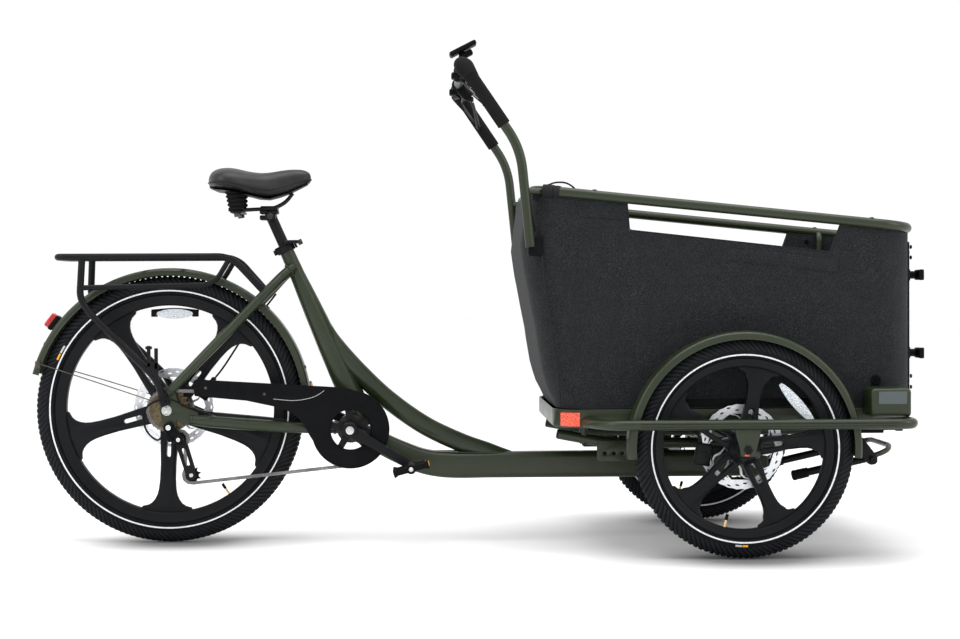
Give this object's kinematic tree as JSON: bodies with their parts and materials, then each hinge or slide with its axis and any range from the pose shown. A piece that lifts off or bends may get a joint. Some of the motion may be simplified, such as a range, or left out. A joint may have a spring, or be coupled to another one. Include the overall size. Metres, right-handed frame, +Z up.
{
  "type": "cargo bicycle",
  "caption": "Front-box cargo tricycle with a step-through frame, derailleur drive, cast wheels, felt-clad cargo box and hoop handlebar.",
  "frame": {"origin": "on the floor below the middle of the bounding box", "axes": "+X forwards, +Y to the rider's left, +Z up"},
  "size_m": [2.1714, 0.9044, 1.2403],
  "materials": {
    "olive_paint": "satin olive powder coat",
    "black_metal": "satin black powder coat",
    "tyre": "matte tread rubber with a pale reflective line",
    "felt": "heathered charcoal felt",
    "rubber": "matte foam and cable sheath",
    "black_plastic": "fine-grained moulding",
    "steel": "bright brushed steel",
    "dark_steel": "dark bronze steel",
    "saddle_cover": "satin synthetic leather",
    "red_lens": "clear red lens in a black wedge"
  },
  "bodies": {
    "rear_frame": {"seat_tube": "olive_paint", "curved_tube": "olive_paint", "main_beam": "olive_paint", "stays_right": "olive_paint", "stays_left": "olive_paint", "rear_axle": "steel", "rear_fender": "olive_paint", "rack_deck": "black_metal", "rack_side_right": "black_metal", "rack_side_left": "black_metal", "rear_light": "red_lens", "chain": "steel", "chain_guard": "black_plastic", "derailleur_body": "black_metal", "derailleur_cage": "black_metal", "derailleur_cable": "rubber", "rear_caliper": "black_metal", "seat_clamp": "black_metal"},
    "rear_wheel": {"rear_tyre": "tyre", "rear_mag_wheel": "black_metal", "rear_rotor": "steel"},
    "cassette": {"cassette": "dark_steel"},
    "crankset": {"crankset": "black_metal", "chainring": "black_metal"},
    "pedal_right": {"pedal_right": "black_plastic"},
    "pedal_left": {"pedal_left": "black_plastic"},
    "upper_jockey": {"upper_jockey": "black_plastic"},
    "lower_jockey": {"lower_jockey": "black_plastic"},
    "seat": {"seat_post": "black_metal", "saddle_frame": "black_metal", "saddle": "saddle_cover"},
    "seat_clamp_lever": {"seat_clamp_lever": "black_metal"},
    "front_carriage": {"sub_chassis": "olive_paint", "base_tray": "olive_paint", "box_shell": "felt", "box_rail": "olive_paint", "bumper_right": "olive_paint", "bumper_left": "olive_paint", "front_fender_right": "olive_paint", "front_fender_left": "olive_paint", "light_housing_right": "olive_paint", "light_housing_left": "olive_paint", "front_caliper_right": "black_metal", "front_caliper_left": "black_metal", "handlebar": "olive_paint", "grip_right": "rubber", "grip_left": "rubber", "display": "black_plastic"},
    "front_right_wheel": {"front_right_tyre": "tyre", "front_right_mag_wheel": "black_metal", "front_right_rotor": "steel"},
    "front_left_wheel": {"front_left_tyre": "tyre", "front_left_mag_wheel": "black_metal", "front_left_rotor": "steel"},
    "front_door": {"front_door": "felt"},
    "upper_latch": {"upper_latch": "black_plastic"},
    "lower_latch": {"lower_latch": "black_plastic"},
    "brake_lever_right": {"brake_lever_right": "steel"},
    "brake_lever_left": {"brake_lever_left": "steel"},
    "front_stand": {"front_stand": "black_metal"}
  },
  "joints": [
    {"name": "steer", "type": "hinge", "parent": "rear_frame", "child": "front_carriage", "pos_m": [0.629, 0, 0.256], "axis": [0, 0, 1], "range_deg": [-40, 40]},
    {"name": "rear_wheel_spin", "type": "hinge", "parent": "rear_frame", "child": "rear_wheel", "pos_m": [-0.748, 0, 0.3335], "axis": [0, 1, 0], "continuous": true},
    {"name": "crank_spin", "type": "hinge", "parent": "rear_frame", "child": "crankset", "pos_m": [-0.296, 0, 0.283], "axis": [0, 1, 0], "continuous": true},
    {"name": "cassette_spin", "type": "hinge", "parent": "rear_frame", "child": "cassette", "pos_m": [-0.748, 0, 0.3335], "axis": [0, 1, 0], "continuous": true},
    {"name": "upper_jockey_spin", "type": "hinge", "parent": "rear_frame", "child": "upper_jockey", "pos_m": [-0.718, -0.056, 0.262], "axis": [0, 1, 0], "continuous": true},
    {"name": "lower_jockey_spin", "type": "hinge", "parent": "rear_frame", "child": "lower_jockey", "pos_m": [-0.69, -0.056, 0.172], "axis": [0, 1, 0], "continuous": true},
    {"name": "pedal_right_spin", "type": "hinge", "parent": "crankset", "child": "pedal_right", "pos_m": [-0.14521, -0.145, 0.19418], "axis": [0, 1, 0], "continuous": true},
    {"name": "pedal_left_spin", "type": "hinge", "parent": "crankset", "child": "pedal_left", "pos_m": [-0.44679, 0.145, 0.37182], "axis": [0, 1, 0], "continuous": true},
    {"name": "seat_height", "type": "slide", "parent": "rear_frame", "child": "seat", "axis": [-0.4067, 0, 0.9135], "range_m": [-0.03, 0.06]},
    {"name": "seat_clamp_turn", "type": "hinge", "parent": "rear_frame", "child": "seat_clamp_lever", "pos_m": [-0.42239, 0, 0.75013], "axis": [-0.4067, 0, 0.9135], "range_deg": [0, 120]},
    {"name": "front_right_wheel_spin", "type": "hinge", "parent": "front_carriage", "child": "front_right_wheel", "pos_m": [0.629, -0.38, 0.257], "axis": [0, 1, 0], "continuous": true},
    {"name": "front_left_wheel_spin", "type": "hinge", "parent": "front_carriage", "child": "front_left_wheel", "pos_m": [0.629, 0.38, 0.257], "axis": [0, 1, 0], "continuous": true},
    {"name": "door_swing", "type": "hinge", "parent": "front_carriage", "child": "front_door", "pos_m": [1.0575, 0.26, 0.56], "axis": [0, 0, 1], "range_deg": [0, 110]},
    {"name": "upper_latch_turn", "type": "hinge", "parent": "front_door", "child": "upper_latch", "pos_m": [1.0515, -0.235, 0.659], "axis": [1, 0, 0], "range_deg": [0, 90]},
    {"name": "lower_latch_turn", "type": "hinge", "parent": "front_door", "child": "lower_latch", "pos_m": [1.0515, -0.235, 0.472], "axis": [1, 0, 0], "range_deg": [0, 90]},
    {"name": "brake_right_pull", "type": "hinge", "parent": "front_carriage", "child": "brake_lever_right", "pos_m": [0.008, -0.15, 1.128], "axis": [-0.7071, 0, -0.7071], "range_deg": [0, 12], "stiffness_Nm_per_rad": 1, "springref_deg": -17.19},
    {"name": "brake_left_pull", "type": "hinge", "parent": "front_carriage", "child": "brake_lever_left", "pos_m": [0.008, 0.15, 1.128], "axis": [0.7071, 0, 0.7071], "range_deg": [0, 12], "stiffness_Nm_per_rad": 1, "springref_deg": -17.19},
    {"name": "stand_swing", "type": "hinge", "parent": "front_carriage", "child": "front_stand", "pos_m": [0.974, 0, 0.212], "axis": [0, -1, 0], "range_deg": [0, 74]}
  ],
  "couplings": [
    {"joint": "cassette_spin", "follows": "crank_spin", "ratio": 1.8333},
    {"joint": "upper_jockey_spin", "follows": "crank_spin", "ratio": -4.4},
    {"joint": "lower_jockey_spin", "follows": "crank_spin", "ratio": 4.4}
  ]
}
